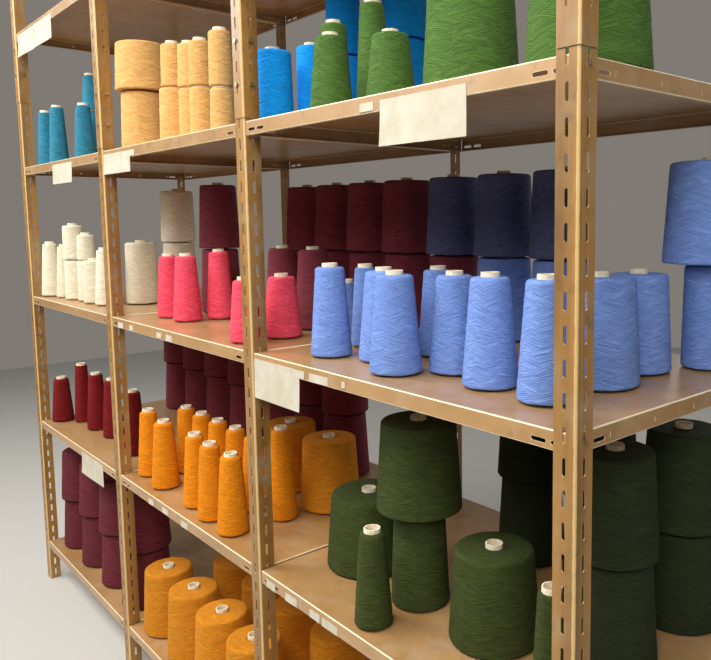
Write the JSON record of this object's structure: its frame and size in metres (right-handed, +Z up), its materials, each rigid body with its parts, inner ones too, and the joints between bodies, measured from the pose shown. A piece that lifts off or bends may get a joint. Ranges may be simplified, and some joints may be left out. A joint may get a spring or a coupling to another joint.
{
  "type": "yarn storage rack",
  "caption": "Run of slotted-angle steel shelving stocked with cones and large packages of coloured knitting yarn on paper tubes.",
  "frame": {"origin": "floor level, at the middle of the rack's length and depth", "axes": "+X along the rack to the near end in the picture, -Y out of the open front, +Z up"},
  "size_m": [2.958, 0.72, 2.6],
  "materials": {
    "painted_post": "satin bronze-tan paint, scuffed",
    "painted_shelf": "satin bronze-tan paint, rubbed dull on top",
    "zinc": "zinc plated",
    "card": "uncoated paper card",
    "paper_tube": "spiral-wound paper",
    "teal_yarn": "cross-wound knitting yarn",
    "white_yarn": "cross-wound knitting yarn",
    "red_yarn": "cross-wound knitting yarn",
    "burgundy_yarn": "cross-wound knitting yarn",
    "straw_yarn": "cross-wound knitting yarn",
    "ecru_yarn": "cross-wound knitting yarn",
    "pink_yarn": "cross-wound knitting yarn",
    "wine_yarn": "cross-wound knitting yarn",
    "amber_yarn": "cross-wound knitting yarn",
    "amber_packages": "cross-wound knitting yarn",
    "azure_yarn": "cross-wound knitting yarn",
    "leaf_yarn": "cross-wound knitting yarn",
    "cornflower_yarn": "cross-wound knitting yarn",
    "navy_yarn": "cross-wound knitting yarn",
    "spruce_yarn": "cross-wound knitting yarn",
    "spruce_packages": "cross-wound knitting yarn"
  },
  "bodies": {
    "root": {"front_post_1": "painted_post", "front_post_2": "painted_post", "front_post_3": "painted_post", "front_post_4": "painted_post", "back_post_1": "painted_post", "back_post_2": "painted_post", "back_post_3": "painted_post", "back_post_4": "painted_post", "front_upper_post_1": "painted_post", "front_upper_post_2": "painted_post", "front_upper_post_3": "painted_post", "front_upper_post_4": "painted_post", "back_upper_post_1": "painted_post", "back_upper_post_2": "painted_post", "back_upper_post_3": "painted_post", "back_upper_post_4": "painted_post", "shelf_1_1": "painted_shelf", "shelf_1_2": "painted_shelf", "shelf_1_3": "painted_shelf", "shelf_1_4": "painted_shelf", "shelf_1_5": "painted_shelf", "shelf_2_1": "painted_shelf", "shelf_2_2": "painted_shelf", "shelf_2_3": "painted_shelf", "shelf_2_4": "painted_shelf", "shelf_2_5": "painted_shelf", "shelf_3_1": "painted_shelf", "shelf_3_2": "painted_shelf", "shelf_3_3": "painted_shelf", "shelf_3_4": "painted_shelf", "shelf_3_5": "painted_shelf", "shelf_clips": "zinc", "splice_bolts": "zinc", "splice_nuts": "zinc", "shelf_cards": "card", "small_cards": "card", "teal_yarn": "teal_yarn", "white_yarn": "white_yarn", "red_yarn": "red_yarn", "burgundy_yarn": "burgundy_yarn", "straw_yarn": "straw_yarn", "ecru_yarn": "ecru_yarn", "pink_yarn": "pink_yarn", "wine_yarn": "wine_yarn", "amber_yarn": "amber_yarn", "amber_packages": "amber_packages", "azure_yarn": "azure_yarn", "leaf_yarn": "leaf_yarn", "cornflower_yarn": "cornflower_yarn", "navy_yarn": "navy_yarn", "spruce_yarn": "spruce_yarn", "spruce_packages": "spruce_packages", "paper_tubes_1": "paper_tube", "paper_tubes_2": "paper_tube", "paper_tubes_3": "paper_tube"}
  },
  "joints": []
}
